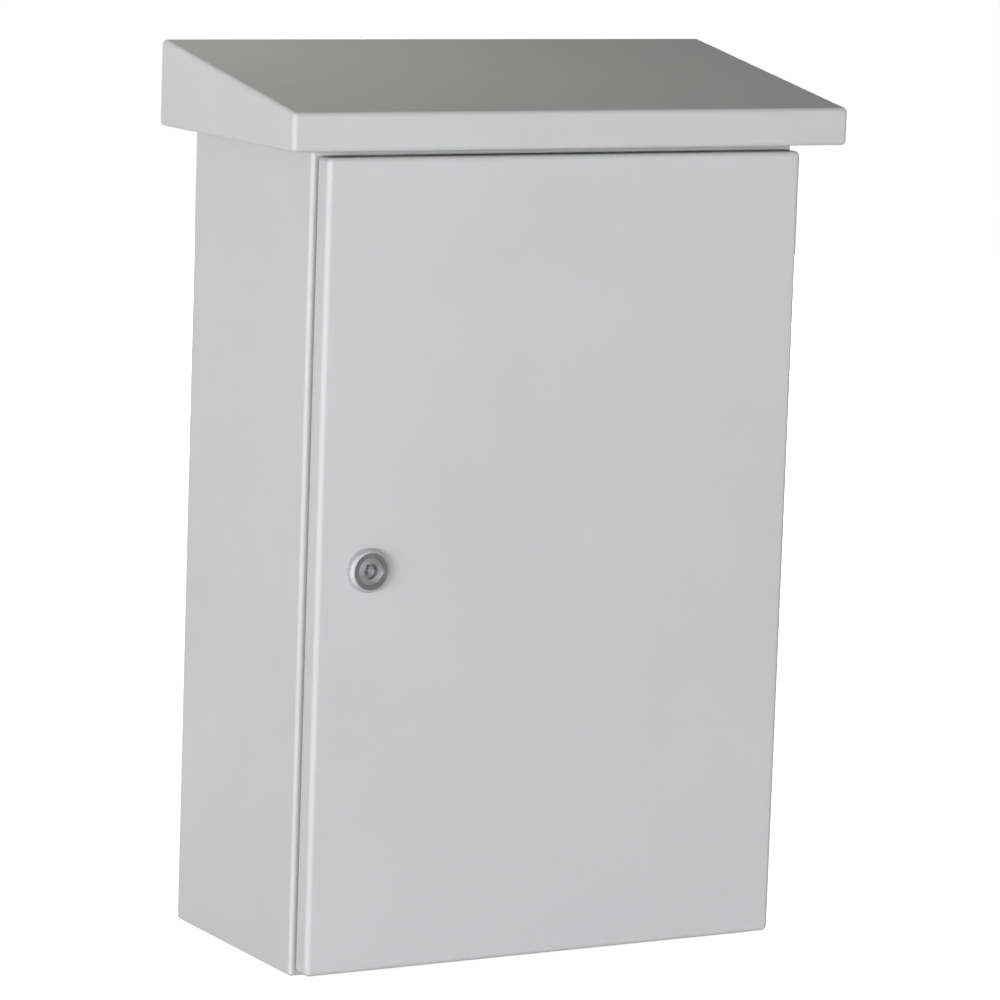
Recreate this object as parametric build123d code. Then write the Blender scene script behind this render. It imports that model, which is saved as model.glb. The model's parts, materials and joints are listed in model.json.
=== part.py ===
from build123d import *
import os

# Wall-mounting electrical panel: a folded steel housing with a rain canopy, a door on two
# concealed hinges with a quarter-turn lock, and a mounting plate that carries the switchgear.
# Millimetres. X to the right seen from the front, Y towards the wall, Z up.
# The origin is the centre of the four wall holes, on the back face.

# Cutting tools run past the face they cut by this much
spare = 1.0

# Housing: one folded and welded sheet steel shell
body_width = 400.0
body_height = 600.0
body_depth = 190.5          # back face to the face of the front gutter
body_sheet = 1.5
body_bend = 3.0             # outside radius of a fold
gutter_width = 23.0         # rain gutter around the door opening
lip_height = 11.0           # upstand that the door seal closes on
lip_corner = 7.0
wall_hole_radius = 4.25
wall_hole_margin = 35.0     # wall hole to the side and to the top or bottom of the housing

# Door: one folded pan
door_sheet = 1.5
door_depth = 15.5
door_gap = 4.0              # back edge of the door to the gutter face
door_inset = 3.5            # the door is this much smaller than the housing on each side
door_bend = 4.0
seal_width = 10.0
seal_clearance = 0.3
seal_corner = 11.0
seal_inner_corner = 2.0
stiffener_from_lock = 38.0      # middle of a stiffener to the lock axis
stiffener_width = 20.0
stiffener_depth = 9.0
stiffener_sheet = 1.2
stiffener_lip = 9.0             # feet that are spot-welded to the door
stiffener_end_gap = 45.0        # end of a stiffener to the end of the door
stiffener_hole_radius = 3.5
stiffener_hole_pitch = 50.0

# Concealed hinges
hinge_inset = 5.5           # pin axis to the side of the door
hinge_setback = 10.0        # pin axis to the front of the door
hinge_end_distance = 70.0   # middle of a hinge to the end of the door
pin_radius = 2.5
pin_running_clearance = 0.05
pin_seat_clearance = 0.01
pin_head_radius = 3.9
pin_head_height = 2.0
pin_tip = 1.0                # pin past the lower ear
knuckle_radius = 5.2
knuckle_length = 22.0
hinge_foot_width = 7.0
hinge_foot_thickness = 3.0
ear_thickness = 4.0
ear_clearance = 0.4         # between an ear and the end of the knuckle
ear_overhang = 5.5          # ear past the pin axis, towards the housing
ear_round = 5.0
notch_clearance = 1.5

# Quarter-turn lock
lock_from_side = 44.0       # lock axis to the side of the housing
lock_flange_radius = 16.0
lock_flange_height = 4.6
lock_flange_round = 2.8
lock_seal_thickness = 1.0
lock_seal_margin = 0.8          # seal set back from the edge of the flange
lock_stem_radius = 11.0
lock_hole_clearance = 0.2
lock_nut_flats = 26.0
lock_nut_thickness = 5.0
lock_stem_flats = 20.0          # two flats keep it from turning in the door
insert_radius = 8.5
insert_head_radius = 10.0
insert_head_depth = 3.0
insert_recess = 1.0             # face of the insert below the face of the flange
insert_clearance = 0.1
key_well_radius = 5.6
key_well_depth = 5.0
key_post_radius = 2.0
key_bit_width = 2.2
key_bit_span = 7.6
key_post_recess = 0.5           # post and bits below the face of the insert
cam_thickness = 3.0
cam_length = 32.0
cam_width = 15.0
cam_tip_chamfer = 3.0
cam_clearance = 0.7         # cam to the back of the gutter
cam_stem_clearance = 0.2    # cam to the end of the stem it turns against
shank_size = 8.0
shank_clearance = 0.1
shank_recess = 0.2              # end of the shank below the face of the cam
cam_screw_radius = 3.0
cam_screw_head_radius = 7.0
cam_screw_head_height = 3.5
cam_screw_length = 14.0

# Rain canopy: one folded and welded sheet steel hood
canopy_sheet = 1.5
canopy_bend = 3.5
canopy_side_overhang = 30.0
canopy_front_overhang = 10.0    # past the front of the door
canopy_front_height = 27.5
canopy_back_height = 64.0
canopy_lift = 1.5               # lower edge above the housing
canopy_flange = 14.0            # inturned flange around its open underside
bearer_width = 32.0
bearer_thickness = 2.0
bearer_from_side = 60.0         # middle of a bearer to the side of the housing
bearer_bolt_from_back = 36.0
bearer_bolt_spacing = 112.0
bearer_end_gap = 2.0            # bearer to the inside of the hood
canopy_bolt_radius = 3.0
canopy_bolt_head_flats = 10.0
canopy_bolt_head_height = 4.0
canopy_bolt_tip = 1.0           # bolt past its nut
canopy_nut_height = 5.0
bolt_hole_clearance = 0.3
sealing_washer_radius = 9.0

# Gland plate in the floor of the housing
gland_from_side = 60.0          # opening to the side of the housing
gland_opening_depth = 104.0
gland_opening_corner = 8.0
gland_from_front = 38.0         # opening to the gutter face
gland_rim = 16.0                # plate past the edge of the opening
gland_plate_sheet = 2.0
gland_gasket_thickness = 3.0
gland_gasket_margin = 2.0       # gasket set back from the edge of the opening
gland_screw_radius = 2.5
gland_screw_head_flats = 8.0
gland_screw_head_height = 3.5
gland_screw_pitch_sides = 2     # gaps between screws along each long edge

# Mounting plate on four welded studs
plate_margin_side = 25.0
plate_margin_end = 25.0
plate_sheet = 2.0
plate_corner_cut = 36.0         # gives the wall screws room
plate_standoff = 12.0
stud_from_side = 50.0           # stud to the side of the housing
stud_from_end = 65.0
stud_radius = 4.0
stud_length = 30.0
stud_collar_radius = 7.0
plate_hole_clearance = 0.5
nut_flats = 13.0
nut_height = 6.5
nut_flange_radius = 8.5
nut_flange_height = 1.6
thread_clearance = 0.05

# Earth studs
earth_stud_length = 20.0
body_earth_from_front = 60.0
body_earth_from_floor = 60.0
door_earth_from_side = 50.0
door_earth_from_end = 60.0

# Mounting rails, 35 mm hat section
rail_width = 35.0
rail_height = 7.5
rail_base = 25.0
rail_sheet = 1.0
rail_margin = 15.0              # rail end to the edge of the plate
rail_slot_length = 15.0
rail_slot_width = 6.2
rail_slot_pitch = 25.0
upper_rail_above_middle = 120.0
lower_rail_below_middle = 60.0
rail_screw_radius = 2.5
rail_screw_head_radius = 4.6
rail_screw_head_height = 2.6

# Modular switchgear
module_width = 17.8
module_pitch = 18.0
breaker_count = 6
main_switch_module_count = 3
residual_device_module_count = 2
device_height = 85.0
device_nose_height = 45.0
device_shoulder_depth = 43.0
device_nose_depth = 60.0
device_leg_depth = 5.0
device_leg_step = 8.0           # leg past the edge of the rail
device_back_slant = 6.0
device_back_depth = 2.0
device_shoulder_chamfer = 4.0
device_edge_round = 0.8
device_seam = 0.8               # width and depth of the groove between joined modules
rail_fit = 0.2                  # play between a device and the edge of its rail
rail_hook_gap = 0.3
rail_hook_reach = 1.3
rail_hook_ramp = 1.6
lever_axis_depth = 54.0
lever_hub_radius = 9.0
lever_reach = 19.0
lever_thickness = 4.2
lever_taper = 0.5               # taken off each face towards the tip
lever_tip_round = 1.2
lever_clearance = 0.3
lever_tilt = 35.0               # degrees above square at ON, and below it at OFF
breaker_lever_width = 7.0
residual_lever_width = 12.0
main_lever_width = 26.0
terminal_screw_radius = 2.8
terminal_screw_depth = 9.0
terminal_screw_from_nose = 7.5
wire_entry_width = 8.0
wire_entry_depth = 9.0
wire_entry_length = 8.0
button_radius = 3.0
button_height = 1.8
button_length = 8.0
button_travel = 1.2
button_round = 0.6
button_above_nose_end = 7.0
end_stop_width = 8.0
end_stop_gap = 0.2
end_stop_leg_step = 4.0
end_stop_shoulder_step = 6.0
end_stop_shoulder_depth = 4.0
end_stop_depth = 22.0
end_stop_crown = 16.0
end_stop_screw_radius = 2.2
end_stop_screw_depth = 10.0

# Terminal blocks on the lower rail
terminal_count = 12
terminal_width = 8.0
terminal_pitch = 8.2
terminal_height = 50.0
terminal_depth = 42.0
terminal_crown = 26.0
terminal_crown_slant = 2.0
terminal_back_slant = 2.0
terminal_back_depth = 10.0
terminal_shoulder_depth = 26.0
terminal_neck_depth = 32.0
terminal_screw_from_middle = 6.5
terminal_clamp_radius = 2.2
terminal_clamp_depth = 12.0
terminal_entry_width = 4.8
terminal_entry_height = 6.0
terminal_entry_from_rail = 18.0
terminal_entry_length = 8.0

# Neutral and earth bars
bar_length = 110.0
bar_height = 10.0
bar_thickness = 8.0
bar_screw_count = 9
bar_screw_pitch = 10.0
bar_screw_radius = 2.2
bar_screw_rise = 2.0
bar_screw_slot_width = 0.7
bar_screw_slot_depth = 0.9
bar_wire_radius = 2.5
bar_wire_stop = 0.5             # wire hole ends this far below the screws
bar_foot_length = 12.0
bar_foot_height = 24.0
bar_foot_depth = 22.0
bar_foot_jaw = 2.0              # foot past the front of its bar
bar_foot_clearance = 0.1
bar_above_plate_end = 60.0
bar_gap = 24.0                  # between the two bars

# Planes and lines that several parts share
half_width = body_width / 2
half_height = body_height / 2
gutter_face = -body_depth
door_back = gutter_face - door_gap
door_front = door_back - door_depth
door_inner = door_front + door_sheet
door_half_width = half_width - door_inset
door_half_height = half_height - door_inset
lip_outer_x = half_width - gutter_width
lip_outer_z = half_height - gutter_width
lip_inner_x = lip_outer_x - body_sheet
lip_inner_z = lip_outer_z - body_sheet
lip_tip = gutter_face - lip_height
hinge_x = door_half_width - hinge_inset
hinge_y = door_front + hinge_setback
hinge_z = door_half_height - hinge_end_distance
lock_x = -(half_width - lock_from_side)
cam_front = gutter_face + body_sheet + cam_clearance
plate_back = -(body_sheet + plate_standoff)
plate_front = plate_back - plate_sheet
plate_half_width = half_width - plate_margin_side
plate_half_height = half_height - plate_margin_end
rail_front = plate_front - rail_height
canopy_floor = half_height + canopy_lift
bearer_floor = canopy_floor + canopy_sheet
bearer_top = bearer_floor + bearer_thickness
stiffener_x = -lock_x - stiffener_from_lock
bearer_x = half_width - bearer_from_side
gland_opening_width = body_width - 2 * gland_from_side
housing_roof_inside = half_height - body_sheet
housing_floor_inside = -half_height + body_sheet


def past(low, high):
    """The span of a cut that goes right through from low to high."""
    return (low - spare, high + spare)


def block(x, y, z):
    """A box from three pairs of coordinates."""
    middle = (sum(x) / 2, sum(y) / 2, sum(z) / 2)
    return Pos(*middle) * Box(abs(x[1] - x[0]), abs(y[1] - y[0]), abs(z[1] - z[0]))


def rod_x(y, z, radius, x):
    """A cylinder along X between two X coordinates."""
    return Pos(sum(x) / 2, y, z) * Rot(0, 90, 0) * Cylinder(radius, abs(x[1] - x[0]))


def rod_y(x, z, radius, y):
    """A cylinder along Y between two Y coordinates."""
    return Pos(x, sum(y) / 2, z) * Rot(90, 0, 0) * Cylinder(radius, abs(y[1] - y[0]))


def rod_z(x, y, radius, z):
    """A cylinder along Z between two Z coordinates."""
    return Pos(x, y, sum(z) / 2) * Cylinder(radius, abs(z[1] - z[0]))


def hexagon_y(x, z, flats, y):
    """A hexagonal prism along Y, with two of its flats facing sideways."""
    outline = Plane.XZ * RegularPolygon(flats / 2, 6, major_radius=False, rotation=30)
    low, high = min(y), max(y)
    return Pos(x, high, z) * extrude(outline, amount=high - low)


def hexagon_z(x, y, flats, z):
    """A hexagonal prism along Z."""
    low, high = min(z), max(z)
    outline = RegularPolygon(flats / 2, 6, major_radius=False)
    return Pos(x, y, low) * extrude(outline, amount=high - low)


def prism_x(outline, x):
    """A prism along X from (y, z) points."""
    face = make_face(Polyline([(x[0], py, pz) for py, pz in outline], close=True))
    return extrude(face, amount=x[1] - x[0], dir=(1, 0, 0))


def prism_y(outline, y):
    """A prism along Y from (x, z) points."""
    face = make_face(Polyline([(px, y[0], pz) for px, pz in outline], close=True))
    return extrude(face, amount=y[1] - y[0], dir=(0, 1, 0))


def prism_z(outline, z):
    """A prism along Z from (x, y) points."""
    face = make_face(Polyline([(px, py, z[0]) for px, py in outline], close=True))
    return extrude(face, amount=z[1] - z[0], dir=(0, 0, 1))


def rounded_slab_y(half_x, half_z, corner, y):
    """A slab in the plane of the door, with rounded corners."""
    outline = Plane.XZ * RectangleRounded(2 * half_x, 2 * half_z, corner)
    low, high = min(y), max(y)
    return Pos(0, high, 0) * extrude(outline, amount=high - low)


def rounded_slab_z(half_x, half_y, corner, centre_y, z):
    """A level slab with rounded corners."""
    outline = RectangleRounded(2 * half_x, 2 * half_y, corner)
    return Pos(0, centre_y, z[0]) * extrude(outline, amount=z[1] - z[0])


def rounded_box(x, y, z, radius):
    """A box with every edge rounded."""
    solid = block(x, y, z)
    return fillet(solid.edges(), radius)


def mirrored_pairs(x, z):
    """The four points (x, z) on both sides of both middle lines."""
    return [(sx * x, sz * z) for sx in (-1, 1) for sz in (-1, 1)]


# Housing

def gland_centre():
    return gutter_face + gland_from_front + gland_opening_depth / 2


def gland_screw_places():
    """Screws along both long edges of the gland plate, as (x, y)."""
    half_x = gland_opening_width / 2
    row = gland_opening_depth / 2 + gland_rim / 2
    steps = gland_screw_pitch_sides
    along = [-half_x + 2 * half_x * step / steps for step in range(steps + 1)]
    return [(x, gland_centre() + side * row) for x in along for side in (-1, 1)]


def canopy_bolt_places():
    """Bolts that hold the canopy's bearers down, as (x, y)."""
    rows = (-bearer_bolt_from_back, -bearer_bolt_from_back - bearer_bolt_spacing)
    return [(side * bearer_x, y) for side in (-1, 1) for y in rows]


def housing():
    outer = rounded_box(
        (-half_width, half_width), (gutter_face, 0), (-half_height, half_height), body_bend
    )
    inner = rounded_box(
        (-half_width + body_sheet, half_width - body_sheet),
        (gutter_face + body_sheet, -body_sheet),
        (-half_height + body_sheet, half_height - body_sheet),
        body_bend - body_sheet,
    )
    shell = outer - inner
    lip_depth = (lip_tip, gutter_face + body_sheet)
    lip = rounded_slab_y(lip_outer_x, lip_outer_z, lip_corner, lip_depth)
    opening = rounded_slab_y(
        lip_inner_x, lip_inner_z, lip_corner - body_sheet, past(lip_tip, gutter_face + body_sheet)
    )
    shell = shell + lip - opening
    hole_x = half_width - wall_hole_margin
    hole_z = half_height - wall_hole_margin
    for x, z in mirrored_pairs(hole_x, hole_z):
        shell -= rod_y(x, z, wall_hole_radius, past(-body_sheet, 0))
    floor_cut = past(-half_height, housing_floor_inside)
    shell -= rounded_slab_z(
        gland_opening_width / 2, gland_opening_depth / 2, gland_opening_corner, gland_centre(), floor_cut
    )
    for x, y in gland_screw_places():
        shell -= rod_z(x, y, gland_screw_radius + thread_clearance, floor_cut)
    roof_cut = past(housing_roof_inside, half_height)
    for x, y in canopy_bolt_places():
        shell -= rod_z(x, y, canopy_bolt_radius + bolt_hole_clearance, roof_cut)
    return shell


# Rain canopy

def canopy():
    front = door_front - canopy_front_overhang
    side = half_width + canopy_side_overhang
    low = canopy_floor
    slope = (canopy_back_height - canopy_front_height) / -front
    outer_profile = [
        (0, low),
        (0, low + canopy_back_height),
        (front, low + canopy_front_height),
        (front, low),
    ]
    outer = prism_x(outer_profile, (-side, side))
    outer = fillet(outer.edges(), canopy_bend)
    t = canopy_sheet
    normal_drop = t * (1 + slope**2) ** 0.5
    inner_profile = [
        (-t, low + t),
        (-t, low + canopy_back_height - t * slope - normal_drop),
        (front + t, low + canopy_front_height + t * slope - normal_drop),
        (front + t, low + t),
    ]
    inner = prism_x(inner_profile, (-side + t, side - t))
    inner = fillet(inner.edges(), canopy_bend - t)
    underside = block(
        (-side + canopy_flange, side - canopy_flange),
        (front + canopy_flange, -canopy_flange),
        past(low, low + t),
    )
    return outer - inner - underside


def canopy_bearer(side):
    front = door_front - canopy_front_overhang + canopy_sheet + bearer_end_gap
    back = -canopy_sheet - bearer_end_gap
    x = side * bearer_x
    bar = block(
        (x - bearer_width / 2, x + bearer_width / 2), (front, back), (bearer_floor, bearer_top)
    )
    through = past(bearer_floor, bearer_top)
    for bolt_x, bolt_y in canopy_bolt_places():
        bar -= rod_z(bolt_x, bolt_y, canopy_bolt_radius + bolt_hole_clearance, through)
    return bar


def canopy_bolts():
    bolts = []
    under_head = housing_roof_inside
    tip = bearer_top + canopy_nut_height + canopy_bolt_tip
    for x, y in canopy_bolt_places():
        head = hexagon_z(x, y, canopy_bolt_head_flats, (under_head - canopy_bolt_head_height, under_head))
        bolts.append(head + rod_z(x, y, canopy_bolt_radius, (under_head, tip)))
    return bolts


def canopy_sealing_washers():
    span = (half_height, bearer_floor)
    bore = canopy_bolt_radius + bolt_hole_clearance
    return [
        rod_z(x, y, sealing_washer_radius, span) - rod_z(x, y, bore, past(*span))
        for x, y in canopy_bolt_places()
    ]


def canopy_weld_nuts():
    span = (bearer_top, bearer_top + canopy_nut_height)
    bore = canopy_bolt_radius + thread_clearance
    return [
        hexagon_z(x, y, canopy_bolt_head_flats, span) - rod_z(x, y, bore, past(*span))
        for x, y in canopy_bolt_places()
    ]


# Gland plate

def gland_outline(z, grow=0.0, corner=gland_opening_corner):
    return rounded_slab_z(
        gland_opening_width / 2 + grow, gland_opening_depth / 2 + grow, corner + grow, gland_centre(), z
    )


def gland_plate_gasket():
    z = (housing_floor_inside, housing_floor_inside + gland_gasket_thickness)
    ring = gland_outline(z, gland_rim) - gland_outline(past(*z), gland_gasket_margin)
    for x, y in gland_screw_places():
        ring -= rod_z(x, y, gland_screw_radius + bolt_hole_clearance, past(*z))
    return ring


def gland_plate():
    low = housing_floor_inside + gland_gasket_thickness
    z = (low, low + gland_plate_sheet)
    plate = gland_outline(z, gland_rim)
    for x, y in gland_screw_places():
        plate -= rod_z(x, y, gland_screw_radius + bolt_hole_clearance, past(*z))
    return plate


def gland_plate_screws():
    seat = housing_floor_inside + gland_gasket_thickness + gland_plate_sheet
    screws = []
    for x, y in gland_screw_places():
        head = hexagon_z(x, y, gland_screw_head_flats, (seat, seat + gland_screw_head_height))
        shank = rod_z(x, y, gland_screw_radius, (-half_height, seat))
        screws.append(head + shank)
    return screws


# Mounting plate

def stud_places():
    return mirrored_pairs(half_width - stud_from_side, half_height - stud_from_end)


def rail_screw_places():
    """Two screws for each rail, in its outermost slots but one, as (x, z)."""
    x = rail_slot_pitch * (rail_slot_count() // 2 - 1)
    return [(side * x, z) for z in (upper_rail_z(), lower_rail_z()) for side in (-1, 1)]


def bar_foot_places():
    """Feet at both ends of the neutral bar and of the earth bar, as (x, z)."""
    z = -plate_half_height + bar_above_plate_end
    reach = bar_length / 2 - bar_foot_length / 2
    return [(bar_x(side) + end * reach, z) for side in (-1, 1) for end in (-1, 1)]


def mounting_plate():
    w, h, cut = plate_half_width, plate_half_height, plate_corner_cut
    outline = [
        (-w + cut, -h), (w - cut, -h), (w, -h + cut), (w, h - cut),
        (w - cut, h), (-w + cut, h), (-w, h - cut), (-w, -h + cut),
    ]
    plate = prism_y(outline, (plate_front, plate_back))
    through = past(plate_front, plate_back)
    for x, z in stud_places():
        plate -= rod_y(x, z, stud_radius + plate_hole_clearance, through)
    for x, z in rail_screw_places():
        plate -= rod_y(x, z, rail_screw_radius + thread_clearance, through)
    return plate


def mounting_plate_studs():
    studs = []
    for x, z in stud_places():
        collar = rod_y(x, z, stud_collar_radius, (plate_back, -body_sheet))
        shank = rod_y(x, z, stud_radius, (-body_sheet - stud_length, plate_back))
        studs.append(collar + shank)
    return studs


def flange_nut(x, z, seat):
    """A flanged nut on a stud along Y, seated at Y = seat and standing out towards the front."""
    flange = rod_y(x, z, nut_flange_radius, (seat - nut_flange_height, seat))
    body = hexagon_y(x, z, nut_flats, (seat - nut_height, seat - nut_flange_height))
    bore = rod_y(x, z, stud_radius + thread_clearance, past(seat - nut_height, seat))
    return flange + body - bore


def mounting_plate_nuts():
    return [flange_nut(x, z, plate_front) for x, z in stud_places()]


# Hinges

def hinge_heights():
    return {"upper": hinge_z, "lower": -hinge_z}


def knuckle_span(z):
    return (z - knuckle_length / 2, z + knuckle_length / 2)


def hinge_lug(z):
    """Housing side of a hinge: a foot welded in the gutter and an arm to the pin."""
    foot = Pos(lip_outer_x + hinge_foot_width / 2, gutter_face - hinge_foot_thickness / 2) * Rectangle(
        hinge_foot_width, hinge_foot_thickness
    )
    barrel = Pos(hinge_x, hinge_y) * Circle(knuckle_radius)
    outline = make_hull(foot.edges() + barrel.edges())
    low, high = knuckle_span(z)
    arm = Pos(0, 0, low) * extrude(outline, amount=high - low)
    return arm - rod_z(hinge_x, hinge_y, pin_radius + pin_running_clearance, past(low, high))


def door_hinge_ears(z):
    """Door side of a hinge: two ears welded inside the folded edge of the door."""
    side = door_half_width - door_sheet
    left = hinge_x - knuckle_radius
    back = hinge_y + ear_overhang
    ears = []
    for direction in (-1, 1):
        near = z + direction * (knuckle_length / 2 + ear_clearance)
        far = near + direction * ear_thickness
        ear = block((left, side), (door_inner, back), (near, far))
        weld_corner = ear.edges().filter_by(Axis.Z).group_by(Axis.X)[-1].sort_by(Axis.Y)[0]
        ear = chamfer(weld_corner, door_bend - door_sheet)
        free_corner = ear.edges().filter_by(Axis.Z).group_by(Axis.X)[0].sort_by(Axis.Y)[-1]
        ear = fillet(free_corner, ear_round)
        through = past(min(near, far), max(near, far))
        ears.append(ear - rod_z(hinge_x, hinge_y, pin_radius + pin_seat_clearance, through))
    return ears


def hinge_pin(z):
    reach = knuckle_length / 2 + ear_clearance + ear_thickness
    shank = rod_z(hinge_x, hinge_y, pin_radius, (z - reach - pin_tip, z + reach))
    head = rod_z(hinge_x, hinge_y, pin_head_radius, (z + reach, z + reach + pin_head_height))
    return shank + head


# Door

def door_panel():
    outer = rounded_box(
        (-door_half_width, door_half_width),
        (door_front, door_back + 2 * door_bend),
        (-door_half_height, door_half_height),
        door_bend,
    )
    t = door_sheet
    inner = rounded_box(
        (-door_half_width + t, door_half_width - t),
        (door_inner, door_back + 2 * door_bend),
        (-door_half_height + t, door_half_height - t),
        door_bend - t,
    )
    behind = block((-body_width, body_width), (door_back, 0), (-body_height, body_height))
    pan = outer - inner - behind
    pan -= lock_stem_form(lock_hole_clearance, past(door_front, door_inner))
    notch_length = knuckle_length / 2 + notch_clearance
    for z in hinge_heights().values():
        pan -= block(
            (door_half_width - door_sheet - spare, door_half_width + spare),
            (door_front + door_bend, door_back + spare),
            (z - notch_length, z + notch_length),
        )
    return pan


def door_seal():
    middle_x = (lip_outer_x + lip_inner_x) / 2
    middle_z = (lip_outer_z + lip_inner_z) / 2
    y = (door_inner, lip_tip - seal_clearance)
    half = seal_width / 2
    ring = rounded_slab_y(middle_x + half, middle_z + half, seal_corner, y)
    hole = rounded_slab_y(
        middle_x - half, middle_z - half, seal_inner_corner, past(*y)
    )
    return ring - hole


def door_stiffener(side):
    """Hat section welded upright to the inside of the door, with a row of holes."""
    x = side * stiffener_x
    half, foot, t = stiffener_width / 2, stiffener_lip, stiffener_sheet
    top = door_inner + stiffener_depth
    right_half = [
        (half + foot, door_inner), (half + foot, door_inner + t), (half, door_inner + t), (half, top),
    ]
    inside = [(half - t, top - t), (half - t, door_inner)]
    outline = right_half + [(-px, py) for px, py in reversed(right_half)]
    outline += [(-px, py) for px, py in reversed(inside)] + inside
    reach = door_half_height - stiffener_end_gap
    rail = Pos(x, 0, 0) * prism_z(outline, (-reach, reach))
    steps = int((reach - stiffener_hole_pitch / 2) // stiffener_hole_pitch)
    for step in range(-steps, steps + 1):
        z = step * stiffener_hole_pitch
        rail -= rod_y(x, z, stiffener_hole_radius, past(top - t, top))
    return rail


def door_earth_place():
    return door_half_width - door_earth_from_side, -door_half_height + door_earth_from_end


def door_earth_stud():
    x, z = door_earth_place()
    return rod_y(x, z, stud_radius, (door_inner, door_inner + earth_stud_length))


def door_earth_nut():
    """Flanged nut run down its stud to the inside of the door."""
    x, z = door_earth_place()
    seat = door_inner + nut_flange_height
    flange = rod_y(x, z, nut_flange_radius, (door_inner, seat))
    body = hexagon_y(x, z, nut_flats, (seat, door_inner + nut_height))
    bore = rod_y(x, z, stud_radius + thread_clearance, past(door_inner, door_inner + nut_height))
    return flange + body - bore


def body_earth_place():
    return gutter_face + body_earth_from_front, -half_height + body_earth_from_floor


def body_earth_stud():
    y, z = body_earth_place()
    side = half_width - body_sheet
    return rod_x(y, z, stud_radius, (side - earth_stud_length, side))


def body_earth_nut():
    y, z = body_earth_place()
    side = half_width - body_sheet
    seat = side - nut_flange_height
    flange = rod_x(y, z, nut_flange_radius, (seat, side))
    hexagon = Plane.YZ * RegularPolygon(nut_flats / 2, 6, major_radius=False)
    body = Pos(side - nut_height, y, z) * extrude(hexagon, amount=nut_height - nut_flange_height)
    bore = rod_x(y, z, stud_radius + thread_clearance, past(side - nut_height, side))
    return flange + body - bore


# Lock

def lock_flange_back():
    return door_front - lock_seal_thickness


def lock_flange_front():
    return lock_flange_back() - lock_flange_height


def lock_stem_end():
    return cam_front - cam_stem_clearance


def lock_stem_form(clearance, y):
    """The round stem with its two flats, or the hole that it fits."""
    half = lock_stem_flats / 2 + clearance
    wide = lock_stem_radius + clearance
    round_form = rod_y(lock_x, 0, wide, y)
    return round_form & block((lock_x - wide, lock_x + wide), y, (-half, half))


def lock_housing():
    """Turned and chromed housing: a domed flange in front of the door and a threaded stem."""
    back, front = lock_flange_back(), lock_flange_front()
    flange = rod_y(0, 0, lock_flange_radius, (front, back))
    rim = flange.edges().filter_by(GeomType.CIRCLE).sort_by(Axis.Y)[0]
    flange = Pos(lock_x, 0, 0) * fillet(rim, lock_flange_round)
    stem = lock_stem_form(0, (back, lock_stem_end()))
    bore = rod_y(lock_x, 0, insert_radius + insert_clearance, past(front, lock_stem_end()))
    seat = front + insert_recess + insert_head_depth + insert_clearance
    counterbore = rod_y(lock_x, 0, insert_head_radius + insert_clearance, (front - spare, seat))
    return flange + stem - bore - counterbore


def lock_seal():
    back, front = door_front, lock_flange_back()
    ring = rod_y(lock_x, 0, lock_flange_radius - lock_seal_margin, (front, back))
    return ring - rod_y(lock_x, 0, lock_stem_radius + lock_hole_clearance, past(front, back))


def lock_nut():
    y = (door_inner, door_inner + lock_nut_thickness)
    bore = rod_y(lock_x, 0, lock_stem_radius + thread_clearance, past(*y))
    return hexagon_y(lock_x, 0, lock_nut_flats, y) - bore


def lock_insert():
    """The turning core: a key well with its post and two bits, and a square shank for the cam."""
    face = lock_flange_front() + insert_recess
    head = rod_y(0, 0, insert_head_radius, (face, face + insert_head_depth))
    core = head + rod_y(0, 0, insert_radius, (face, cam_front))
    well = rod_y(0, 0, key_well_radius, (face - spare, face + key_well_depth))
    raised = (face + key_post_recess, face + key_well_depth)
    post = rod_y(0, 0, key_post_radius, raised)
    half_span = key_bit_span / 2
    bits = block((-key_bit_width / 2, key_bit_width / 2), raised, (-half_span, half_span))
    shank_end = cam_front + cam_thickness - shank_recess
    half = shank_size / 2
    shank = block((-half, half), (cam_front, shank_end), (-half, half))
    threaded = past(shank_end - cam_screw_length, shank_end)
    thread = rod_y(0, 0, cam_screw_radius + thread_clearance, threaded)
    return Pos(lock_x, 0, 0) * (core - well + post + bits + shank - thread)


def lock_cam():
    """Flat cam, drawn in its unlocked position, pointing down."""
    y = (cam_front, cam_front + cam_thickness)
    half = cam_width / 2
    arm = block((-half, half), y, (-cam_length, 0)) + rod_y(0, 0, half, y)
    tip = arm.edges().filter_by(Axis.Y).group_by(Axis.Z)[0]
    arm = chamfer(tip, cam_tip_chamfer)
    hole = shank_size / 2 + shank_clearance
    return Pos(lock_x, 0, 0) * (arm - block((-hole, hole), past(*y), (-hole, hole)))


def lock_cam_screw():
    seat = cam_front + cam_thickness
    head = rod_y(lock_x, 0, cam_screw_head_radius, (seat, seat + cam_screw_head_height))
    shank = rod_y(lock_x, 0, cam_screw_radius, (seat - cam_screw_length, seat))
    return head + shank


# Rails

def upper_rail_z():
    return upper_rail_above_middle


def lower_rail_z():
    return -lower_rail_below_middle


def rail_half_length():
    return plate_half_width - rail_margin


def rail_slot_count():
    """Slots along a rail, an odd number so that one is in the middle."""
    fitting = int((2 * rail_half_length() - rail_slot_length) // rail_slot_pitch)
    return fitting if fitting % 2 else fitting - 1


def din_rail(z):
    """Hat section, open to the front, with a row of slots in its base."""
    base, edge, t = rail_base / 2, rail_width / 2, rail_sheet
    half = [(plate_front, base), (rail_front + t, base), (rail_front + t, edge), (rail_front, edge),
            (rail_front, base - t), (plate_front - t, base - t)]
    outline = half + [(y, -h) for y, h in reversed(half)]
    reach = rail_half_length()
    rail = Pos(0, 0, z) * prism_x(outline, (-reach, reach))
    through = past(plate_front - t, plate_front)
    slot = Plane.XZ * SlotOverall(rail_slot_length, rail_slot_width)
    count = rail_slot_count()
    for index in range(count):
        x = (index - (count - 1) / 2) * rail_slot_pitch
        rail -= Pos(x, through[1], z) * extrude(slot, amount=through[1] - through[0])
    return rail


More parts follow.
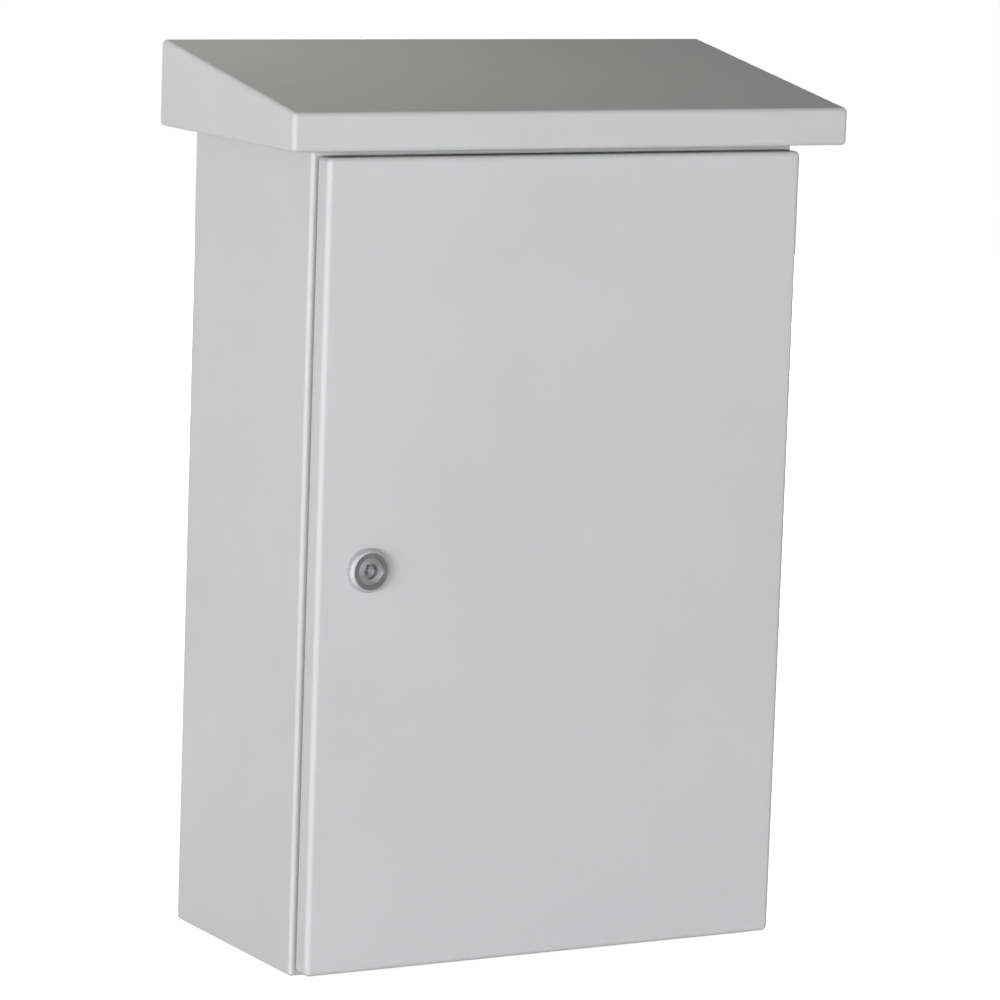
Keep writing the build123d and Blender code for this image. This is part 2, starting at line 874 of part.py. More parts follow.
def din_rail_screws():
    screws = []
    seat = plate_front - rail_sheet
    for x, z in rail_screw_places():
        head = rod_y(x, z, rail_screw_head_radius, (seat - rail_screw_head_height, seat))
        shank = rod_y(x, z, rail_screw_radius, (seat, plate_back))
        screws.append(head + shank)
    return screws


# Modular switchgear

def rail_grip():
    """Middle of a rail to the inside of what hooks over its edge."""
    return rail_width / 2 + rail_fit


def both_halves(upper_half):
    """Closed side view from its upper half, as (depth in front of the rail, height) points."""
    return upper_half + [(depth, -height) for depth, height in reversed(upper_half)]


def rail_hook():
    """Upper half of the hook that holds a device on its rail, from the rail's face to the leg."""
    grip = rail_grip()
    back = rail_sheet + rail_hook_gap
    tip = grip - rail_hook_reach - rail_fit
    return [
        (0, grip),
        (-back, grip),
        (-back, tip),
        (-back - rail_hook_ramp, tip),
        (-device_leg_depth, grip),
    ]


def device_outline():
    top = device_height / 2
    return both_halves(rail_hook() + [
        (-device_leg_depth, rail_grip() + device_leg_step),
        (device_back_depth, top - device_back_slant),
        (device_back_depth, top),
        (device_shoulder_depth - device_shoulder_chamfer, top),
        (device_shoulder_depth, top - device_shoulder_chamfer),
        (device_shoulder_depth, device_nose_height / 2),
        (device_nose_depth, device_nose_height / 2),
    ])


def device_prism(outline, x, z):
    return Pos(0, 0, z) * prism_x([(rail_front - depth, height) for depth, height in outline], x)


def row_modules():
    return main_switch_module_count + residual_device_module_count + breaker_count


def row_start():
    """Left end of the row of devices on the upper rail, with the row in the middle."""
    return -row_modules() * module_pitch / 2


def row_end():
    return row_start() + row_modules() * module_pitch - (module_pitch - module_width)


def device_middle(first_module, modules):
    """Middle of a device that starts at a module of the row."""
    left = row_start() + first_module * module_pitch
    return left + (modules * module_pitch - (module_pitch - module_width)) / 2


def modular_device(first_module, modules, lever_width):
    """Moulded housing of a switch or breaker, with its lever pocket, screws and wire entries."""
    z = upper_rail_z()
    x0 = row_start() + first_module * module_pitch
    x1 = x0 + modules * module_pitch - (module_pitch - module_width)
    body = device_prism(device_outline(), (x0, x1), z)
    nose_face = rail_front - device_nose_depth
    nose_edges = body.faces().sort_by(Axis.Y)[0].edges()
    body = fillet(nose_edges, device_edge_round)
    middle = device_middle(first_module, modules)
    pocket_half = lever_width / 2 + lever_clearance
    body -= rod_x(
        rail_front - lever_axis_depth, z, lever_hub_radius + lever_clearance,
        (middle - pocket_half, middle + pocket_half),
    )
    shoulder = rail_front - device_shoulder_depth
    for module in range(modules):
        mx = x0 + module_width / 2 + module * module_pitch
        for side in (-1, 1):
            screw_z = z + side * (device_nose_height / 2 + terminal_screw_from_nose)
            screw_hole = (shoulder - spare, shoulder + terminal_screw_depth)
            body -= rod_y(mx, screw_z, terminal_screw_radius, screw_hole)
            entry_y = rail_front - device_shoulder_depth / 2
            end_z = z + side * device_height / 2
            body -= block(
                (mx - wire_entry_width / 2, mx + wire_entry_width / 2),
                (entry_y - wire_entry_depth / 2, entry_y + wire_entry_depth / 2),
                (end_z - wire_entry_length, end_z + wire_entry_length),
            )
        if module:
            seam = x0 + module * module_pitch - (module_pitch - module_width) / 2
            body -= block(
                (seam - device_seam / 2, seam + device_seam / 2),
                (nose_face - spare, nose_face + device_seam),
                (z - device_height / 2, z + device_height / 2),
            )
    return body


def device_lever(first_module, modules, lever_width):
    """Rocking lever, drawn up at ON: a round hub in the pocket and a tapered handle."""
    middle = device_middle(first_module, modules)
    half = lever_width / 2
    hub = rod_x(0, 0, lever_hub_radius, (middle - half, middle + half))
    root = lever_thickness / 2
    tip = root - lever_taper
    outline = [(0, -root), (-lever_reach, -tip), (-lever_reach, tip), (0, root)]
    handle = prism_x(outline, (middle - half, middle + half))
    ends = handle.edges().filter_by(Axis.X).group_by(Axis.Y)[0]
    handle = fillet(ends, min(lever_tip_round, 0.9 * tip))
    turned = Rot(-lever_tilt, 0, 0) * (hub + handle)
    return Pos(0, rail_front - lever_axis_depth, upper_rail_z()) * turned


def test_button_place():
    """Centre of the residual current device's test button, as (x, z)."""
    x = device_middle(main_switch_module_count, residual_device_module_count)
    return x, upper_rail_z() - device_nose_height / 2 + button_above_nose_end


def residual_current_device():
    body = modular_device(main_switch_module_count, residual_device_module_count, residual_lever_width)
    x, z = test_button_place()
    face = rail_front - device_nose_depth
    depth = button_length - button_height + button_travel + lever_clearance
    return body - rod_y(x, z, button_radius + lever_clearance, (face - spare, face + depth))


def residual_device_lever():
    return device_lever(main_switch_module_count, residual_device_module_count, residual_lever_width)


def test_button():
    x, z = test_button_place()
    face = rail_front - device_nose_depth
    button = rod_y(x, z, button_radius, (face - button_height, face - button_height + button_length))
    rim = button.edges().filter_by(GeomType.CIRCLE).sort_by(Axis.Y)[0]
    return fillet(rim, button_round)


def end_stop(x, z):
    """Clamp that keeps a row from sliding along its rail."""
    grip = rail_grip()
    outline = both_halves(rail_hook() + [
        (-device_leg_depth, grip + end_stop_leg_step),
        (end_stop_shoulder_depth, grip + end_stop_shoulder_step),
        (end_stop_depth, end_stop_crown / 2),
    ])
    stop = device_prism(outline, (x, x + end_stop_width), z)
    crown = rail_front - end_stop_depth
    screw_hole = (crown - spare, crown + end_stop_screw_depth)
    return stop - rod_y(x + end_stop_width / 2, z, end_stop_screw_radius, screw_hole)


def rail_end_stops():
    rows = [(row_start(), row_end(), upper_rail_z()), (terminal_start(), terminal_end(), lower_rail_z())]
    stops = []
    for start, end, z in rows:
        stops.append(end_stop(start - end_stop_gap - end_stop_width, z))
        stops.append(end_stop(end + end_stop_gap, z))
    return stops


# Terminals and bars

def terminal_start():
    return -(terminal_count - 1) * terminal_pitch / 2 - terminal_width / 2


def terminal_end():
    return -terminal_start()


def terminal_block(x):
    """Feed-through terminal with two clamping screws and two wire funnels."""
    top = terminal_height / 2
    outline = both_halves(rail_hook() + [
        (-device_leg_depth, top - terminal_back_slant),
        (terminal_back_depth, top),
        (terminal_shoulder_depth, top),
        (terminal_neck_depth, terminal_crown / 2),
        (terminal_depth, terminal_crown / 2 - terminal_crown_slant),
    ])
    z = lower_rail_z()
    body = device_prism(outline, (x, x + terminal_width), z)
    middle = x + terminal_width / 2
    crown = rail_front - terminal_depth
    entry_y = rail_front - terminal_entry_from_rail
    for side in (-1, 1):
        screw_z = z + side * terminal_screw_from_middle
        clamp_hole = (crown - spare, crown + terminal_clamp_depth)
        body -= rod_y(middle, screw_z, terminal_clamp_radius, clamp_hole)
        end = z + side * top
        body -= block(
            (middle - terminal_entry_width / 2, middle + terminal_entry_width / 2),
            (entry_y - terminal_entry_height / 2, entry_y + terminal_entry_height / 2),
            (end - terminal_entry_length, end + terminal_entry_length),
        )
    return body


def terminal_blocks():
    return [terminal_block(terminal_start() + index * terminal_pitch) for index in range(terminal_count)]


def bar_x(side):
    """Middle of the neutral bar (side -1) or of the earth bar (side 1)."""
    return side * (bar_length / 2 + bar_gap / 2)


def bar_screw_offsets():
    return [(index - (bar_screw_count - 1) / 2) * bar_screw_pitch for index in range(bar_screw_count)]


def bar_front():
    """Front face of both bars, level with the front of their feet."""
    return plate_front - bar_foot_depth


def terminal_bar(side):
    """Brass bar with a row of clamping screws in front and wire holes from below."""
    x, z = bar_x(side), -plate_half_height + bar_above_plate_end
    front = bar_front()
    middle = front + bar_thickness / 2
    bar = block(
        (x - bar_length / 2, x + bar_length / 2),
        (front, front + bar_thickness),
        (z - bar_height / 2, z + bar_height / 2),
    )
    for offset in bar_screw_offsets():
        bar -= rod_y(x + offset, z, bar_screw_radius + thread_clearance, (front - spare, middle))
        bar -= rod_z(x + offset, middle, bar_wire_radius, (z - bar_height, z - bar_wire_stop))
    return bar


def bar_feet(side):
    feet = []
    front = bar_front()
    for x, z in bar_foot_places():
        if (x < 0) != (side < 0):
            continue
        half_l, half_h = bar_foot_length / 2, bar_foot_height / 2
        depth = (front - bar_foot_jaw, plate_front)
        foot = block((x - half_l, x + half_l), depth, (z - half_h, z + half_h))
        slot = bar_height / 2 + bar_foot_clearance
        seat = block(
            (x - half_l - spare, x + half_l + spare),
            (front - bar_foot_jaw - spare, front + bar_thickness),
            (z - slot, z + slot),
        )
        feet.append(foot - seat)
    return feet


def bar_screws():
    screws = []
    front = bar_front()
    z = -plate_half_height + bar_above_plate_end
    for side in (-1, 1):
        for offset in bar_screw_offsets():
            x = bar_x(side) + offset
            top = front - bar_screw_rise
            screw = rod_y(x, z, bar_screw_radius, (top, front + bar_thickness / 2))
            slot = block(
                (x - bar_screw_radius - spare, x + bar_screw_radius + spare),
                (top - spare, top + bar_screw_slot_depth),
                (z - bar_screw_slot_width / 2, z + bar_screw_slot_width / 2),
            )
            screws.append(screw - slot)
    return screws


def all_nodes():
    nodes = {
        "housing": housing(),
        "canopy": canopy(),
        "canopy_bearer_left": canopy_bearer(-1),
        "canopy_bearer_right": canopy_bearer(1),
        "canopy_bolts": canopy_bolts(),
        "canopy_sealing_washers": canopy_sealing_washers(),
        "canopy_weld_nuts": canopy_weld_nuts(),
        "gland_plate": gland_plate(),
        "gland_plate_gasket": gland_plate_gasket(),
        "gland_plate_screws": gland_plate_screws(),
        "mounting_plate": mounting_plate(),
        "mounting_plate_studs": mounting_plate_studs(),
        "mounting_plate_nuts": mounting_plate_nuts(),
        "body_earth_stud": body_earth_stud(),
        "body_earth_nut": body_earth_nut(),
        "din_rail_upper": din_rail(upper_rail_z()),
        "din_rail_lower": din_rail(lower_rail_z()),
        "din_rail_screws": din_rail_screws(),
        "rail_end_stops": rail_end_stops(),
        "terminal_blocks": terminal_blocks(),
        "neutral_bar": terminal_bar(-1),
        "neutral_bar_feet": bar_feet(-1),
        "earth_bar": terminal_bar(1),
        "earth_bar_feet": bar_feet(1),
        "bar_screws": bar_screws(),
        "door_panel": door_panel(),
        "door_seal": door_seal(),
        "door_stiffener_left": door_stiffener(-1),
        "door_stiffener_right": door_stiffener(1),
        "door_earth_stud": door_earth_stud(),
        "door_earth_nut": door_earth_nut(),
        "lock_housing": lock_housing(),
        "lock_seal": lock_seal(),
        "lock_nut": lock_nut(),
        "lock_insert": lock_insert(),
        "lock_cam": lock_cam(),
        "lock_cam_screw": lock_cam_screw(),
        "main_switch": modular_device(0, main_switch_module_count, main_lever_width),
        "main_switch_lever": device_lever(0, main_switch_module_count, main_lever_width),
        "residual_current_device": residual_current_device(),
        "residual_device_lever": residual_device_lever(),
        "residual_device_test_button": test_button(),
    }
    for place, z in hinge_heights().items():
        nodes[f"hinge_lug_{place}"] = hinge_lug(z)
        nodes[f"door_hinge_ears_{place}"] = door_hinge_ears(z)
        nodes[f"hinge_pin_{place}"] = hinge_pin(z)
    first_breaker = main_switch_module_count + residual_device_module_count
    for index in range(breaker_count):
        module = first_breaker + index
        nodes[f"breaker_{index + 1}"] = modular_device(module, 1, breaker_lever_width)
        nodes[f"breaker_{index + 1}_lever"] = device_lever(module, 1, breaker_lever_width)
    return nodes


os.makedirs("parts", exist_ok=True)
for name, shape in all_nodes().items():
    solids = shape if isinstance(shape, list) else [shape]
    export_step(Compound([solid for part in solids for solid in part.solids()]), f"parts/{name}.step")
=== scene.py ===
"""Looks of the electrical panel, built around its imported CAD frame.

Everything is in metres, in the part's own frame: +X right seen from the front, +Y into the wall,
+Z up, and the origin is the centre of the four wall holes.
"""

import json
import math

import bmesh
import bpy
from mathutils import Matrix, Vector


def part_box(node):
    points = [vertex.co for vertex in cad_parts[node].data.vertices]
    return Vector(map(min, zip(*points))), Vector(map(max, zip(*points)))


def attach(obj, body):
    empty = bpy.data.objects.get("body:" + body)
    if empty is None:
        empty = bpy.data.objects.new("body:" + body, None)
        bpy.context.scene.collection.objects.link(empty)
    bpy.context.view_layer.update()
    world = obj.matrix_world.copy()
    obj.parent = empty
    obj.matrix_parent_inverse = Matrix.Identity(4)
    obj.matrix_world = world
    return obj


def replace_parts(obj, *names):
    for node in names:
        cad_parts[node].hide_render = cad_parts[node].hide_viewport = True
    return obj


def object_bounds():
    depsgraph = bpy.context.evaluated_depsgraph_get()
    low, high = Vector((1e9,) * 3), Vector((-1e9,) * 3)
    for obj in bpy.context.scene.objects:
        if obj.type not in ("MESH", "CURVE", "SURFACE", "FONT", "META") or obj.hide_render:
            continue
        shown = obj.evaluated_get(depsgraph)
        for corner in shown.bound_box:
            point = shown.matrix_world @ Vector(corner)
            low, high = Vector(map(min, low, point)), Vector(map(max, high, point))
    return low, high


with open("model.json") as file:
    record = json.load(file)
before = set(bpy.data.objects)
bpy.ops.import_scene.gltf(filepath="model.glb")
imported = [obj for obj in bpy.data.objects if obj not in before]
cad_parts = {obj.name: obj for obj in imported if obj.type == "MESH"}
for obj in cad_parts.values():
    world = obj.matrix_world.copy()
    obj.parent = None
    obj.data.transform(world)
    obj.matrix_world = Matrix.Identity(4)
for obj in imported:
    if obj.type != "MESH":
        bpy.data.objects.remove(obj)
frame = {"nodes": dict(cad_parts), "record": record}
cad_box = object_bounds()
panel_middle = (Vector(cad_box[0]) + Vector(cad_box[1])) / 2

white = (1.0, 1.0, 1.0, 1.0)
towards_front = Vector((0.0, -1.0, 0.0))
towards_left = Vector((-1.0, 0.0, 0.0))
towards_wall = Vector((0.0, 1.0, 0.0))

# Camera, fitted to the edges of the panel in the photo
camera_place = Vector((-1.8062, -3.3458, 0.6082))
camera_yaw = math.radians(29.26)
camera_pitch = math.radians(8.887)
camera_roll = math.radians(1.97)
camera_reach = 100.0
sensor_width = 36.0
camera_lens = 180.6

# Floor, a little below the panel's base so that the two don't share a plane
floor_drop = 0.0004
floor_height = cad_box[0][2] - floor_drop
floor_half = 20.0
floor_colour = (0.88, 0.88, 0.88, 1.0)
floor_roughness = 0.9
floor_glow = 0.84
floor_white_from = -0.1
floor_white_to = 0.5

# World: a fill that fades from the horizon to the top, and a white backdrop behind the panel.
# Both fade by the view direction's part along Z, and the backdrop starts by its part along Y
world_fill = 0.31
world_top = 0.14
fill_colour = (1.0, 0.995, 0.985, 1.0)
fill_fades_from = 0.05
fill_fades_to = 0.85
backdrop_fades_from = 0.10
backdrop_fades_to = 0.30
backdrop_starts = 0.0
backdrop_full = 0.3

# Softboxes: azimuth and elevation in degrees, distance or place, width and height, and power
cool_light = (0.992, 0.978, 1.0)
warm_light = (1.0, 0.975, 0.92)
left_side = (-61.5, 0.5)
left_distance = 6.0
left_size = (3.2, 0.8)
left_power = 247.0
front_side = (-6.0, 4.5)
front_distance = 6.0
front_size = (3.2, 0.8)
front_power = 132.0
back_side = (142.0, 3.0)
back_distance = 5.0
back_size = (2.4, 1.0)
back_power = 230.0
top_place = Vector((-0.30, 0.02, 0.84))
top_size = (0.35, 0.35)
top_power = 0.86

# Scales of surface detail, as repeats per metre
orange_peel = 650.0
paint_speckle = orange_peel * 1.8
paint_ripple = orange_peel / 9.0
paint_clouds = 9.0
paint_sheen = 38.0
metal_grain = 1400.0
zinc_tints = 75.0
zinc_sheen = 420.0
zinc_spangle = 170.0
spangle_sheen = zinc_spangle * 0.83
rolling_streaks = 40.0
chrome_clouds = 90.0
chrome_smudges = 160.0
chrome_ripple = 190.0
turned_clouds = 120.0
turned_sheen = 260.0
seal_clouds = 300.0
seal_pores = 1700.0
seal_sheen = 500.0
moulding_flow = 24.0
moulding_sheen = 120.0
moulding_grain = 2600.0
brass_streaks = 900.0
brass_patches = 60.0
brass_lines = 1500.0

# Scales of a pattern along X, Y and Z, for streaks that run along X
rolled = (1.0, 1.0, 14.0)
drawn = (0.04, 1.0, 1.0)

# Rings of the lathe, in radians per metre of radius
lathe_rings = 14000.0

# Depths of surface relief
peel_depth = 0.000035
paint_ripple_depth = 0.00003
metal_grain_depth = 0.00001
chrome_ripple_depth = 0.00004
lathe_depth = 0.000012
pore_depth = 0.00012
moulding_depth = 0.000018

# The lock's bright rim, by the distance from the lock's axis
rim_start = 0.0132
rim_end = 0.0142
rim_lift = 0.54
rim_dulling = 0.48

# Meshes made here: points around a round form, the angle up to which faces are shaded smooth,
# and how far a thing that is laid on a surface reaches into it
round_steps = 28
corner_steps = 5
smooth_angle = math.radians(40)
overlap = 0.0001

# Switchgear and its clamping screws
devices = ["main_switch", "residual_current_device"] + [f"breaker_{number}" for number in range(1, 7)]
device_levers = ["main_switch_lever", "residual_device_lever"] + [
    f"breaker_{number}_lever" for number in range(1, 7)
]
device_pitch = 0.018
device_shoulder_behind_nose = 0.017
device_screw_radius = 0.0026
device_screw_sink = 0.0035
device_screw_from_middle = 0.030

# Terminal blocks and their clamping screws
terminal_pitch = 0.0082
terminal_screw_radius = 0.0021
terminal_screw_sink = 0.0030
terminal_screw_from_middle = 0.0065

# Form of a clamping screw, with the arms of its cross as shares of its radius
screw_length = 0.003
screw_rim = 0.0003
recess_depth = 0.0012
recess_reach = 0.72
recess_half = 0.19

# Label strips, terminal tags and the marks at the levers
strip_colour = (0.86, 0.86, 0.83, 1.0)
strip_margin = 0.0022
strip_from_middle = 0.0175
strip_half_height = 0.0028
strip_rise = 0.0006
strip_corner = 0.0007
strip_ease_share = 0.4
tag_half_width = 0.0027
tag_half_height = 0.0029
mark_from_middle = 0.0085
mark_half_height = 0.0013
mark_half_width = 0.00022
mark_corner = 0.00018
mark_rise = 0.00008

# Metric threads M8, and the collars behind the mounting plate
thread_radius = 0.004
thread_depth = 0.00068
thread_pitch = 0.00125
thread_rows_per_turn = 6
collar_radius = 0.007

# Spot welds on the feet of the door's stiffeners
foot_thickness = 0.0012
weld_pitch = 0.050
weld_from_side = 0.0045
weld_radius = 0.0026
weld_crown_radius = 0.7 * weld_radius
weld_rise = 0.00018
weld_edge_rise = 0.3 * weld_rise


class Graph:
    """The shader nodes of the world or of a material."""

    def __init__(self, tree, place):
        self.nodes = tree.nodes
        self.links = tree.links
        self.place = self.add("ShaderNodeTexCoord").outputs[place]

    def wire(self, node, values):
        """Sets each input of a node to a value, or links it to an output."""
        for socket, value in values.items():
            if isinstance(value, bpy.types.NodeSocket):
                self.links.new(value, node.inputs[socket])
            else:
                node.inputs[socket].default_value = value

    def add(self, kind, values=None, **settings):
        node = self.nodes.new(kind)
        for name, value in settings.items():
            setattr(node, name, value)
        self.wire(node, values or {})
        return node

    def stretched(self, scale):
        """The place on the object, scaled apart along each axis."""
        return self.add("ShaderNodeMapping", {"Scale": scale, "Vector": self.place}).outputs["Vector"]

    def noise(self, scale, detail, place=None):
        values = {"Scale": scale, "Detail": detail, "Vector": place or self.place}
        return self.add("ShaderNodeTexNoise", values).outputs["Fac"]

    def cells(self, scale):
        """A random colour in each cell of a Voronoi pattern."""
        values = {"Scale": scale, "Vector": self.place}
        return self.add("ShaderNodeTexVoronoi", values).outputs["Color"]

    def spread(self, value, low, high, from_low=0.3, from_high=0.7, blend="LINEAR"):
        """A pattern value, mapped from its own range to low and high."""
        values = {
            "From Min": from_low,
            "From Max": from_high,
            "To Min": low,
            "To Max": high,
            "Value": value,
        }
        return self.add("ShaderNodeMapRange", values, interpolation_type=blend).outputs["Result"]

    def vector_math(self, operation, values):
        return self.add("ShaderNodeVectorMath", values, operation=operation)

    def radius(self, axis):
        """The distance on the object from an axis along Y."""
        offset = self.vector_math("SUBTRACT", {0: self.place, 1: axis}).outputs["Vector"]
        flat = self.vector_math("MULTIPLY", {0: offset, 1: (1.0, 0.0, 1.0)}).outputs["Vector"]
        return self.vector_math("LENGTH", {0: flat}).outputs["Value"]

    def math(self, operation, first, second=0.0):
        return self.add("ShaderNodeMath", {0: first, 1: second}, operation=operation).outputs["Value"]

    def tint(self, base, factor):
        """A base colour made lighter or darker by a pattern value near 1."""
        return self.vector_math("SCALE", {0: base[:3], "Scale": factor}).outputs["Vector"]

    def between(self, factor, first, second):
        """A mix of two colours by a pattern value."""
        values = {"A": first, "B": second, "Factor": factor}
        return self.add("ShaderNodeMix", values, data_type="RGBA").outputs["Result"]

    def bump(self, height, distance, under=None):
        """The normal of a relief, which may lie on another one."""
        values = {"Strength": 1.0, "Distance": distance, "Height": height}
        if under is not None:
            values["Normal"] = under
        return self.add("ShaderNodeBump", values).outputs["Normal"]


class Finish(Graph):
    """The nodes of one material, with one principled shader."""

    def __init__(self, name):
        self.material = bpy.data.materials.new(name)
        self.material.use_nodes = True
        super().__init__(self.material.node_tree, "Object")
        self.shader = self.nodes["Principled BSDF"]

    def done(self, base, roughness, normal, metallic=0.0):
        """Sets the shader's sockets and gives the material."""
        self.wire(self.shader, {
            "Base Color": base,
            "Roughness": roughness,
            "Normal": normal,
            "Metallic": metallic,
        })
        return self.material


def powder_coat(name, base):
    """Satin powder coat: fine orange peel, faint cloudiness and small changes of gloss."""
    graph = Finish(name)
    clouds = graph.spread(graph.noise(paint_clouds, 4.0), 0.985, 1.015)
    grains = graph.spread(graph.noise(paint_speckle, 1.0), 0.992, 1.008)
    shade = graph.math("MULTIPLY", clouds, grains)
    peel = graph.bump(graph.noise(orange_peel, 2.0), peel_depth)
    waves = graph.bump(graph.noise(paint_ripple, 1.0), paint_ripple_depth, under=peel)
    gloss = graph.spread(graph.noise(paint_sheen, 5.0), 0.50, 0.58)
    return graph.done(graph.tint(base, shade), gloss, waves)


def zinc_plate(name, base):
    """Small zinc plated parts: satin metal with the faint straw and blue tints of passivation."""
    graph = Finish(name)
    straw = (0.92 * base[0], 0.88 * base[1], 0.77 * base[2], 1.0)
    blue = (0.80 * base[0], 0.85 * base[1], 0.91 * base[2], 1.0)
    tint = graph.between(graph.spread(graph.noise(zinc_tints, 3.0), 0.0, 1.0), straw, blue)
    gloss = graph.spread(graph.noise(zinc_sheen, 4.0), 0.36, 0.50)
    fine = graph.bump(graph.noise(metal_grain, 3.0), metal_grain_depth)
    return graph.done(tint, gloss, fine, metallic=1.0)


def galvanised(name, base):
    """Hot dip galvanised sheet: spangles of different gloss, with faint rolling streaks."""
    graph = Finish(name)
    spangle = graph.spread(graph.cells(zinc_spangle), 0.70, 0.84, 0.0, 1.0)
    streak = graph.spread(graph.noise(rolling_streaks, 4.0, graph.stretched(rolled)), 0.96, 1.03)
    shade = graph.math("MULTIPLY", spangle, streak)
    gloss = graph.spread(graph.cells(spangle_sheen), 0.50, 0.64, 0.0, 1.0)
    fine = graph.bump(graph.noise(metal_grain, 3.0), metal_grain_depth)
    return graph.done(graph.tint(base, shade), gloss, fine, metallic=1.0)


def lock_axis():
    """A point on the lock's axis, which lies along Y."""
    _, _, middle = box_of("lock_insert")
    return (middle.x, 0.0, middle.z)


def chrome(name, base):
    """Chromed casting: a dulled face, and a brighter, rougher rim around it."""
    graph = Finish(name)
    rim = graph.spread(graph.radius(lock_axis()), 0.0, 1.0, rim_start, rim_end)
    clouds = graph.spread(graph.noise(chrome_clouds, 3.0), 0.66, 0.75)
    shade = graph.math("ADD", clouds, graph.math("MULTIPLY", rim, rim_lift))
    smudges = graph.spread(graph.noise(chrome_smudges, 5.0), 0.20, 0.30)
    gloss = graph.math("ADD", smudges, graph.math("MULTIPLY", rim, rim_dulling))
    waves = graph.bump(graph.noise(chrome_ripple, 2.0), chrome_ripple_depth)
    return graph.done(graph.tint(base, shade), gloss, waves, metallic=1.0)


def turned_chrome(name, base):
    """Chromed face with the fine rings of the lathe around the lock's axis."""
    graph = Finish(name)
    wave = graph.math("SINE", graph.math("MULTIPLY", graph.radius(lock_axis()), lathe_rings))
    rings = graph.bump(wave, lathe_depth)
    shade = graph.spread(graph.noise(turned_clouds, 4.0), 0.70, 0.81)
    gloss = graph.spread(graph.noise(turned_sheen, 4.0), 0.32, 0.44)
    return graph.done(graph.tint(base, shade), gloss, rings, metallic=1.0)


def rubber(name, base):
    """Foamed seal: open skin with fine pores."""
    graph = Finish(name)
    shade = graph.spread(graph.noise(seal_clouds, 4.0), 0.8, 1.25)
    pores = graph.bump(graph.noise(seal_pores, 3.0), pore_depth)
    gloss = graph.spread(graph.noise(seal_sheen, 2.0), 0.72, 0.88)
    return graph.done(graph.tint(base, shade), gloss, pores)


def moulded(name, base, gloss_low=0.38, gloss_high=0.50):
    """Moulded plastic: spark eroded grain and a slight change of shade with the flow."""
    graph = Finish(name)
    shade = graph.spread(graph.noise(moulding_flow, 3.0), 0.97, 1.02)
    grain = graph.bump(graph.noise(moulding_grain, 2.0), moulding_depth)
    gloss = graph.spread(graph.noise(moulding_sheen, 3.0), gloss_low, gloss_high)
    return graph.done(graph.tint(base, shade), gloss, grain)


def drawn_brass(name, base):
    """Drawn brass bar: streaks along its length and slightly dulled patches."""
    graph = Finish(name)
    along = graph.stretched(drawn)
    streak = graph.spread(graph.noise(brass_streaks, 4.0, along), 0.88, 1.08)
    gloss = graph.spread(graph.noise(brass_patches, 4.0), 0.22, 0.38)
    lines = graph.bump(graph.noise(brass_lines, 2.0, along), metal_grain_depth)
    return graph.done(graph.tint(base, streak), gloss, lines, metallic=1.0)


# Every slot that isn't named here is of moulded plastic
makers = {
    "paint": powder_coat,
    "zinc": zinc_plate,
    "lock_chrome": chrome,
    "seal_rubber": rubber,
    "brass": drawn_brass,
}


def slot_colours():
    """The record's colour of each slot."""
    return {row["slot"]: (*row["base_color"], 1.0) for row in frame["record"]["materials"]}


def paint_nodes():
    """Each CAD node gets the material of its slot, or its own finish of the same metal."""
    own = {
        "mounting_plate": galvanised("galvanised_sheet", bases["zinc"]),
        "lock_insert": turned_chrome("turned_chrome", bases["lock_chrome"]),
    }
    for row in frame["record"]["subparts"]:
        node = frame["nodes"][row["node"]]
        node.data.materials.clear()
        node.data.materials.append(own.get(row["node"], finishes[row["material_slot"]]))


def box_of(node):
    """The low corner, high corner and middle of a CAD node."""
    low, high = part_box(node)
    middle = Vector([(start + end) / 2 for start, end in zip(low, high)])
    return Vector(low), Vector(high), middle


def in_a_row(middle, count, pitch):
    """Evenly spaced places on both sides of a middle."""
    return [middle + (index - (count - 1) / 2) * pitch for index in range(count)]


def link(name, data):
    """A new object in the scene."""
    thing = bpy.data.objects.new(name, data)
    bpy.context.scene.collection.objects.link(thing)
    return thing


class Shell:
    """A mesh that collects the surfaces of one piece."""

    def __init__(self):
        self.points = []
        self.faces = []

    def ring(self, points):
        """Adds points, and gives their numbers in the mesh."""
        start = len(self.points)
        self.points.extend(points)
        return list(range(start, len(self.points)))

    def skin(self, first, second):
        """Joins two closed rings of as many points."""
        for index in range(len(first)):
            after = (index + 1) % len(first)
            self.faces.append((first[index], first[after], second[after], second[index]))

    def lid(self, ring):
        self.faces.append(tuple(ring))

    def tube(self, rings):
        """Joins rings one after the other, and leaves both ends open."""
        rows = [self.ring(points) for points in rings]
        for first, second in zip(rows, rows[1:]):
            self.skin(first, second)
        return rows

    def stack(self, rings):
        """Joins rings one after the other, with a lid at both ends."""
        rows = self.tube(rings)
        self.lid(reversed(rows[0]))
        self.lid(rows[-1])

    def piece(self, name, body, slot):
        """The finished object, riding on a body, with the material of a slot."""
        mesh = bpy.data.meshes.new(name)
        mesh.from_pydata(self.points, [], self.faces)
        form = bmesh.new()
        form.from_mesh(mesh)
        bmesh.ops.recalc_face_normals(form, faces=form.faces)
        form.to_mesh(mesh)
        form.free()
        mesh.shade_smooth()
        mesh.set_sharp_from_angle(angle=smooth_angle)
        mesh.materials.append(finishes[slot])
        piece = link(name, mesh)
        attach(piece, body)
        return piece


def around_axis(base, along, radii):
    """Points around an axis through the base, one for each radius."""
    across = along.orthogonal().normalized()
    other = along.cross(across)
    points = []
    for index, radius in enumerate(radii):
        turn = 2 * math.pi * index / len(radii)
        points.append(base + radius * (math.cos(turn) * across + math.sin(turn) * other))
    return points


def circle(middle, along, radius, height):
    """Points of a circle around an axis through the middle, at a height along the axis."""
    return around_axis(middle + along * height, along, [radius] * round_steps)


def lathe(shell, middle, along, profile):
    """A solid of revolution from pairs of height and radius."""
    shell.stack([circle(middle, along, radius, height) for height, radius in profile])


